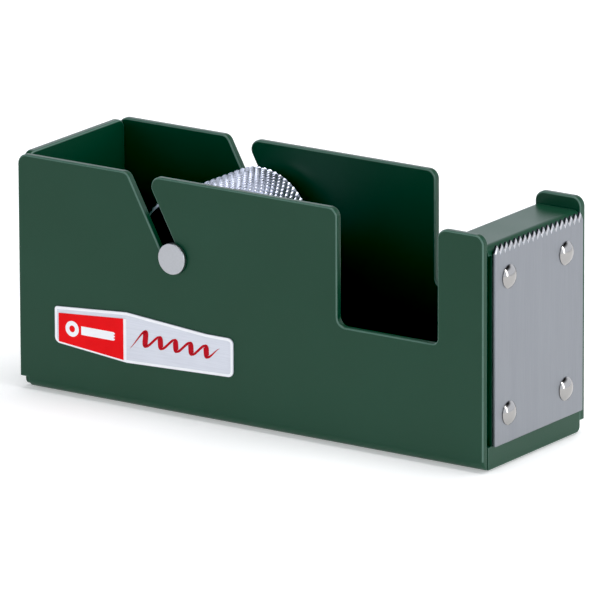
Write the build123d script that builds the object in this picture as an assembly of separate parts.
from build123d import *
from math import cos, radians, sin, tan
import os

# A small desk tape dispenser folded from painted steel sheet.
#
# Working frame while modelling, in millimetres: X runs from the rear wall (0) to the
# blade end, Y is across the body with the label on the -Y side, and Z is up from the
# underside of the steel. Every piece is moved by PLACE when it is written, so that the
# origin ends up at the middle of the overall box, on the surface the feet stand on.

# ---- folded steel body -------------------------------------------------------------
body_length = 120.0
body_width = 39.4
body_height = 52.0
sheet = 1.8                     # thickness of the painted steel
bend_radius = 2.2               # outside radius where the side panels leave the base
edge_round = 0.45               # paint-softened cut edges
seam = 0.12                     # open seam between an end wall and a side panel
panel_corner = 2.2              # rounded top corners of the side panels
panel_kink = 2.2                # rounded corner where the rear panel meets the slot
relief_size = 2.4               # square bend relief at the open bottom corners

# ---- finger notch and ears at the blade end ----------------------------------------
ear_length = 11.6
ear_drop = 0.55                 # ears stop this far below the main top edge
notch_length = 25.4
notch_floor = 26.2              # height of the notch's bottom edge
notch_radius_rear = 2.0
notch_radius_blade = 1.3

# ---- axle and the slots it lifts out through ---------------------------------------
axle_x = 41.0                   # axle centre at rest, from the rear wall
axle_z = 34.8
axle_radius = 1.6
slot_clearance = 0.08           # round the axle in the seat at the slot's foot
slot_width = 4.2                # wider than the seat, which lies on the blade side
slot_lean = 28.5                # degrees the slot leans to the rear as it rises
slot_lip = 2.2                  # rounded corner at the slot's mouth, blade side
cap_radius = 3.45
cap_length = 0.95               # thickness of a cap
cap_gap = 0.15                  # between cap and side panel
cap_seat = 0.55                 # depth of the blind hole that takes the rod
cap_chamfer = 0.25

# ---- tape drum ----------------------------------------------------------------------
drum_radius = 12.9              # for the nominal one-inch tape core, whose bore is 26
drum_wall = 2.4
drum_chamfer = 0.7
drum_side_gap = 2.9             # from a drum face to the side panel
bush_length = 5.0
bush_flange = 1.0               # flange thickness, outside the drum tube
bush_flange_overlap = 1.2       # how far the flange covers the tube's end
bush_clearance = 0.05           # running clearance of the bush on the axle
spacer_radius = 3.4
spacer_clearance = 0.05         # spacer bore over the axle, each side
spacer_end_play = 0.2

# ---- tape rest and cutting blade ----------------------------------------------------
rest_drop = 3.4                 # tape rest below the main top edge
rest_length = 12.3
rest_bend = 1.9
end_slit = 1.4                  # open slit between the end wall and each side panel
lip_height = 8.0                # stiffening lip folded down from the rest
blade_thickness = 1.1
blade_side_margin = 2.77        # from a centred blade's side to the body's
blade_off_centre = 0.38         # the blade sits this far towards the back side
blade_bottom = 4.9
blade_proud = 0.1               # tooth tips above the tape rest
tooth_pitch = 1.8
tooth_depth = 2.0
rivet_from_side = 5.93
rivet_off_centre = -0.4         # the rivets sit this far towards the label side
rivet_from_bottom = 6.4
rivet_from_tips = 7.6
rivet_head_radius = 2.6
rivet_head_height = 1.2
rivet_shank_radius = 1.5
rivet_tail_radius = 2.3
rivet_tail_height = 0.8
rivet_hole_clearance = 0.05

# ---- label --------------------------------------------------------------------------
label_thickness = 0.35
label_from_rear = 9.7
label_length = 46.75
label_peak = 18.9               # from the label's rear end to its tallest section
label_low = 9.7                 # bottom of the tallest section
label_high = 20.95              # top of the tallest section
label_rear_low = 11.45
label_rear_high = 19.5
label_tip_low = 10.75
label_tip_high = 19.35
label_flat = 6.9                # level stretch of the top edge at the blade-side end
label_corner = 1.4
field_inset_rear = 1.1          # silver border round the red field
field_inset_top = 1.45
field_inset_bottom = 0.45
field_length = 17.05
field_thickness = 0.1           # the red field stands on the plate's face

# ---- feet ---------------------------------------------------------------------------
foot_height = 0.4
foot_radius = 4.5
foot_inset_x = 12.0
foot_inset_y = 9.0

# ---- values that follow from the sizes above ---------------------------------------
inner_half = body_width / 2 - sheet
end_half = inner_half - seam
rest_top = body_height - rest_drop
ear_top = body_height - ear_drop
seat_radius = axle_radius + slot_clearance
slot_reach = {-1: slot_width - seat_radius, 1: seat_radius}  # from the axle to each slot edge
lean = radians(slot_lean)
blade_half = body_width / 2 - blade_side_margin
blade_top = rest_top + blade_proud
blade_face = body_length + blade_thickness
overall_length = blade_face + rivet_head_height
drum_half = inner_half - drum_side_gap
cap_face = body_width / 2 + cap_gap + cap_length

PLACE = Location((-overall_length / 2, 0, foot_height))
# Side panels lie in XZ planes: this plane draws them with local x along X and y along Z.
SIDE_PLANE = Plane(origin=(0, 0, 0), x_dir=(1, 0, 0), z_dir=(0, -1, 0))
# The end walls and the blade lie in YZ planes: local x along Y and y along Z.
END_PLANE = Plane(origin=(0, 0, 0), x_dir=(0, 1, 0), z_dir=(1, 0, 0))


def box_between(low, high):
    """A box given by two opposite corners."""
    size = [b - a for a, b in zip(low, high)]
    return Pos(*low) * Box(*size, align=(Align.MIN, Align.MIN, Align.MIN))


def rounded_face(corners):
    """A flat face through (u, v, radius) corners; a radius of 0 leaves the corner sharp."""
    face = make_face(Polyline(*[(u, v) for u, v, _ in corners], close=True))
    for u, v, radius in corners:
        if radius > 0:
            corner = face.vertices().sort_by_distance(Vector(u, v, 0))[0]
            face = fillet(corner, radius)
    return face


def cylinder_y(radius, y_from, y_to, x=0.0, z=0.0):
    """A cylinder along Y between two Y values."""
    length = y_to - y_from
    rod = Rot(-90, 0, 0) * Cylinder(radius, length, align=(Align.CENTER, Align.CENTER, Align.MIN))
    return Pos(x, y_from, z) * rod


def cylinder_x(radius, x_from, x_to, y=0.0, z=0.0):
    """A cylinder along X between two X values."""
    length = x_to - x_from
    rod = Rot(0, 90, 0) * Cylinder(radius, length, align=(Align.CENTER, Align.CENTER, Align.MIN))
    return Pos(x_from, y, z) * rod


def at_axle(piece):
    """Moves a piece drawn about the Y axis to the axle's rest position."""
    return Pos(axle_x, 0, axle_z) * piece


# ---- body ---------------------------------------------------------------------------
def slot_point(side, height):
    """A point on the slot's edge at a height; side is -1 for the rear edge, +1 for the other."""
    along = (height - axle_z) * tan(lean)
    return axle_x - along + side * slot_reach[side] / cos(lean), height


def side_outline():
    """The side panel's outline, without the axle's round seat."""
    notch_blade = body_length - ear_length
    notch_rear = notch_blade - notch_length
    rear_mouth = slot_point(-1, body_height)
    blade_mouth = slot_point(1, body_height)
    return rounded_face([
        (0, 0, 0),
        (body_length, 0, 0),
        (body_length, ear_top, panel_corner),
        (notch_blade, ear_top, panel_corner),
        (notch_blade, notch_floor, notch_radius_blade),
        (notch_rear, notch_floor, notch_radius_rear),
        (notch_rear, body_height, panel_corner),
        (*blade_mouth, slot_lip),
        (axle_x + slot_reach[1] * cos(lean), axle_z + slot_reach[1] * sin(lean), 0),
        (axle_x - slot_reach[-1] * cos(lean), axle_z - slot_reach[-1] * sin(lean), 0),
        (*rear_mouth, panel_kink),
        (0, body_height, panel_corner),
    ])


def channel_section():
    """The U section of base and side panels, drawn in the YZ plane."""
    outer = body_width / 2
    inside = max(bend_radius - sheet, 0.2)
    return rounded_face([
        (-outer, 0, bend_radius),
        (outer, 0, bend_radius),
        (outer, body_height, 0),
        (inner_half, body_height, 0),
        (inner_half, sheet, inside),
        (-inner_half, sheet, inside),
        (-inner_half, body_height, 0),
        (-outer, body_height, 0),
    ])


def relief_box(x_end, y_side):
    """The square nick at a bottom corner where the bend stops short of the end."""
    x_low, x_high = (-1, relief_size) if x_end == 0 else (body_length - relief_size, body_length + 1)
    edge = body_width / 2
    y_low, y_high = (edge - relief_size, edge + 1) if y_side > 0 else (-edge - 1, -edge + relief_size)
    return box_between((x_low, y_low, -1), (x_high, y_high, relief_size))


def make_body_channel():
    """Base and both side panels, folded from one sheet."""
    channel = extrude(END_PLANE * channel_section(), body_length)
    outline = SIDE_PLANE * side_outline()
    channel &= extrude(outline, body_width / 2 + 1, both=True)
    channel -= cylinder_y(seat_radius, -body_width, body_width, axle_x, axle_z)
    # The base stops behind each end wall, which runs down to the underside.
    for x_low, x_high in ((-1, sheet), (body_length - sheet, body_length + 1)):
        channel -= box_between((x_low, -inner_half, -1), (x_high, inner_half, body_height + 1))
    # Three bottom corners are nicked; the label-side corner at the blade end is closed.
    for x_end, y_side in ((0, -1), (0, 1), (1, 1)):
        channel -= relief_box(x_end, y_side)
    return soften_panels(channel)


def soften_panels(channel):
    """Rounds the cut edges of both side panels, on their outer and inner faces."""
    faces = channel.faces().filter_by(Axis.Y)
    panels = [f for f in faces if f.area > body_length * body_height / 3]
    edges = ShapeList()
    for face in panels:
        for edge in face.edges():
            middle = edge.position_at(0.5)
            on_panel = middle.Z > bend_radius + relief_size
            if on_panel:
                edges.append(edge)
    return fillet(edges, edge_round)


def end_wall_face(top, top_radius, y_open_sides):
    """An end wall's outline in the YZ plane; open sides get a rounded bottom corner."""
    low = {side: (relief_size / 2 if side in y_open_sides else 0) for side in (-1, 1)}
    return rounded_face([
        (-end_half, 0, low[-1]),
        (end_half, 0, low[1]),
        (end_half, top, top_radius),
        (-end_half, top, top_radius),
    ])


def make_rear_wall():
    """The wall that closes the rear end, standing between the side panels."""
    wall = extrude(END_PLANE * end_wall_face(body_height, panel_corner, (-1, 1)), sheet)
    ends = wall.faces().filter_by(Axis.X)
    edges = ShapeList([e for f in ends for e in f.edges() if e.position_at(0.5).Z > sheet])
    return fillet(edges, edge_round)


def make_blade_bracket():
    """End wall, tape rest and stiffening lip in one folded strip."""
    rear = body_length - rest_length
    inside = rest_bend - sheet
    section = rounded_face([
        (body_length, 0, 0),
        (body_length, rest_top, rest_bend),
        (rear, rest_top, rest_bend),
        (rear, rest_top - lip_height, 0),
        (rear + sheet, rest_top - lip_height, 0),
        (rear + sheet, rest_top - sheet, inside),
        (body_length - sheet, rest_top - sheet, inside),
        (body_length - sheet, 0, 0),
    ])
    strip = extrude(SIDE_PLANE * section, end_half, both=True)
    keep = END_PLANE * end_wall_face(rest_top + 1, 0, (1,))
    strip &= extrude(keep, body_length + 1)
    for side in (-1, 1):
        inner, outer = sorted((side * (end_half - end_slit), side * (inner_half + 1)))
        strip -= box_between((body_length - sheet - 1, inner, blade_bottom),
                             (body_length + 1, outer, rest_top - rest_bend))
    for y, z in rivet_places():
        hole = rivet_shank_radius + rivet_hole_clearance
        strip -= cylinder_x(hole, body_length - sheet - 1, body_length + 1, y, z)
    return strip


# ---- blade and rivets ---------------------------------------------------------------
def rivet_places():
    """Centres of the rivets as (y, z)."""
    y = blade_half - rivet_from_side
    low = blade_bottom + rivet_from_bottom
    high = blade_top - rivet_from_tips
    return [(side * y + rivet_off_centre, z) for z in (low, high) for side in (-1, 1)]


def make_cutter_blade():
    """A thick steel plate with a saw edge along its top."""
    teeth = round(2 * blade_half / tooth_pitch)
    pitch = 2 * blade_half / teeth
    edge = [(blade_half, blade_bottom), (blade_half, blade_top - tooth_depth)]
    for index in range(teeth):
        right = blade_half - index * pitch
        edge.append((right - pitch / 2, blade_top))
        edge.append((right - pitch, blade_top - tooth_depth))
    edge.append((-blade_half, blade_bottom))
    plate = extrude(END_PLANE * make_face(Polyline(*edge, close=True)), blade_thickness)
    plate = Pos(body_length, blade_off_centre, 0) * plate
    for y, z in rivet_places():
        hole = rivet_shank_radius + rivet_hole_clearance
        plate -= cylinder_x(hole, body_length - 1, blade_face + 1, y, z)
    return plate


def rivet_section():
    """Half of a rivet's lengthwise section, above the X axis."""
    back = body_length - sheet
    tail = back - rivet_tail_height
    tip = blade_face + rivet_head_height
    ball = (rivet_head_radius ** 2 + rivet_head_height ** 2) / (2 * rivet_head_height)
    shoulders = Polyline((tip, 0), (tail, 0), (tail, rivet_tail_radius), (back, rivet_tail_radius),
                         (back, rivet_shank_radius), (blade_face, rivet_shank_radius),
                         (blade_face, rivet_head_radius))
    dome = RadiusArc(shoulders @ 1, shoulders @ 0, ball)
    return make_face([*shoulders.edges(), *dome.edges()])


def make_rivets():
    """Dome-headed rivets through the blade and the end wall, as separate solids."""
    rivet = revolve(rivet_section(), Axis.X)
    return [Pos(0, y, z) * rivet for y, z in rivet_places()]


# ---- axle and drum ------------------------------------------------------------------
def make_axle_rod():
    """The plain rod that the drum turns on; its ends sit in the caps."""
    end = body_width / 2 + cap_gap + cap_seat
    return at_axle(cylinder_y(axle_radius, -end, end))


def make_axle_cap(side):
    """A turned disc pressed on one end of the rod, outside the side panel."""
    inner = body_width / 2 + cap_gap
    disc = cylinder_y(cap_radius, inner, cap_face)
    rim = disc.edges().filter_by(GeomType.CIRCLE).group_by(Axis.Y)[-1]
    disc = chamfer(rim, cap_chamfer)
    disc -= cylinder_y(axle_radius, inner - 1, inner + cap_seat)
    if side < 0:
        disc = Rot(0, 0, 180) * disc
    return at_axle(disc)


def make_drum():
    """The aluminium tube that carries the tape core."""
    half = drum_half - bush_flange
    tube = cylinder_y(drum_radius, -half, half)
    rims = tube.edges().filter_by(GeomType.CIRCLE)
    tube = chamfer(rims, drum_chamfer)
    tube -= cylinder_y(drum_radius - drum_wall, -half - 1, half + 1)
    return at_axle(tube)


def make_bush(side):
    """A flanged nylon bush in one end of the drum."""
    bore = axle_radius + bush_clearance
    tube_end = drum_half - bush_flange
    body = cylinder_y(drum_radius - drum_wall, tube_end - bush_length, tube_end)
    flange_radius = drum_radius - drum_wall + bush_flange_overlap
    body += cylinder_y(flange_radius, tube_end, drum_half)
    body -= cylinder_y(bore, tube_end - bush_length - 1, drum_half + 1)
    if side < 0:
        body = Rot(0, 0, 180) * body
    return at_axle(body)


def make_spacer(side):
    """A loose ring on the axle that keeps the drum off the side panel."""
    inner = drum_half + spacer_end_play
    outer = inner_half - spacer_end_play
    ring = cylinder_y(spacer_radius, inner, outer)
    ring -= cylinder_y(axle_radius + spacer_clearance, inner - 1, outer + 1)
    if side < 0:
        ring = Rot(0, 0, 180) * ring
    return at_axle(ring)


# ---- label, drawn from its own rear end ---------------------------------------------
def label_slope(height_rear, height_peak, from_rear):
    """Height of a sloping label edge at a distance from the label's rear end."""
    return height_rear + (height_peak - height_rear) * from_rear / label_peak


def label_outline():
    """The stretched hexagon of the label plate, from its own rear end."""
    return rounded_face([
        (0, label_rear_low, label_corner),
        (label_peak, label_low, 0),
        (label_length, label_tip_low, label_corner),
        (label_length, label_tip_high, label_corner),
        (label_length - label_flat, label_tip_high, 0),
        (label_peak, label_high, 0),
        (0, label_rear_high, label_corner / 2),
    ])


def red_outline():
    """The red field inside the label's silver border."""
    start, stop = field_inset_rear, field_inset_rear + field_length
    low_start = label_slope(label_rear_low, label_low, start) + field_inset_bottom
    low_stop = label_slope(label_rear_low, label_low, stop) + field_inset_bottom
    high_start = label_slope(label_rear_high, label_high, start) - field_inset_top
    high_stop = label_slope(label_rear_high, label_high, stop) - field_inset_top
    return make_face(Polyline((start, low_start), (stop, low_stop), (stop, high_stop),
                              (start, high_start), close=True))


def on_label_side(face, depth_from, depth_to):
    """Extrudes a label outline outwards from the side panel, between two heights above it."""
    plate = extrude(SIDE_PLANE * face, depth_to - depth_from)
    return Pos(label_from_rear, -body_width / 2 - depth_from, 0) * plate


def make_label_plate():
    """The silver plate on the side panel."""
    return on_label_side(label_outline(), 0, label_thickness)


def make_label_field():
    """The red enamel field on the plate's face."""
    return on_label_side(red_outline(), label_thickness, label_thickness + field_thickness)


# ---- feet ---------------------------------------------------------------------------
def make_feet():
    """The four thin rubber pads under the base, each a node of its own."""
    ends = {"rear": foot_inset_x, "blade": body_length - foot_inset_x}
    sides = {"label_side": foot_inset_y - body_width / 2, "back_side": body_width / 2 - foot_inset_y}
    pad = Cylinder(foot_radius, foot_height, align=(Align.CENTER, Align.CENTER, Align.MAX))
    rim = pad.edges().filter_by(GeomType.CIRCLE).sort_by(Axis.Z)[0]
    pad = chamfer(rim, foot_height / 4)
    return {f"foot_{end}_{side}": Pos(x, y, 0) * pad
            for end, x in ends.items() for side, y in sides.items()}


# ---- write the pieces ---------------------------------------------------------------
def make_pieces():
    """Every node's name with its shape, in the working frame."""
    return {
        "body_channel": make_body_channel(),
        "rear_wall": make_rear_wall(),
        "blade_bracket": make_blade_bracket(),
        "cutter_blade": make_cutter_blade(),
        "blade_rivets": make_rivets(),
        "axle_rod": make_axle_rod(),
        "axle_cap_label_side": make_axle_cap(-1),
        "axle_cap_back_side": make_axle_cap(1),
        "tape_drum": make_drum(),
        "drum_bush_label_side": make_bush(-1),
        "drum_bush_back_side": make_bush(1),
        "spacer_label_side": make_spacer(-1),
        "spacer_back_side": make_spacer(1),
        "label_plate": make_label_plate(),
        "label_red_field": make_label_field(),
        **make_feet(),
    }


def write_pieces():
    """Writes one STEP file for each node."""
    os.makedirs("parts", exist_ok=True)
    for name, shape in make_pieces().items():
        solids = shape if isinstance(shape, list) else [shape]
        placed = [PLACE * solid for solid in solids]
        whole = placed[0] if len(placed) == 1 else Compound(children=placed)
        export_step(whole, f"parts/{name}.step")


write_pieces()
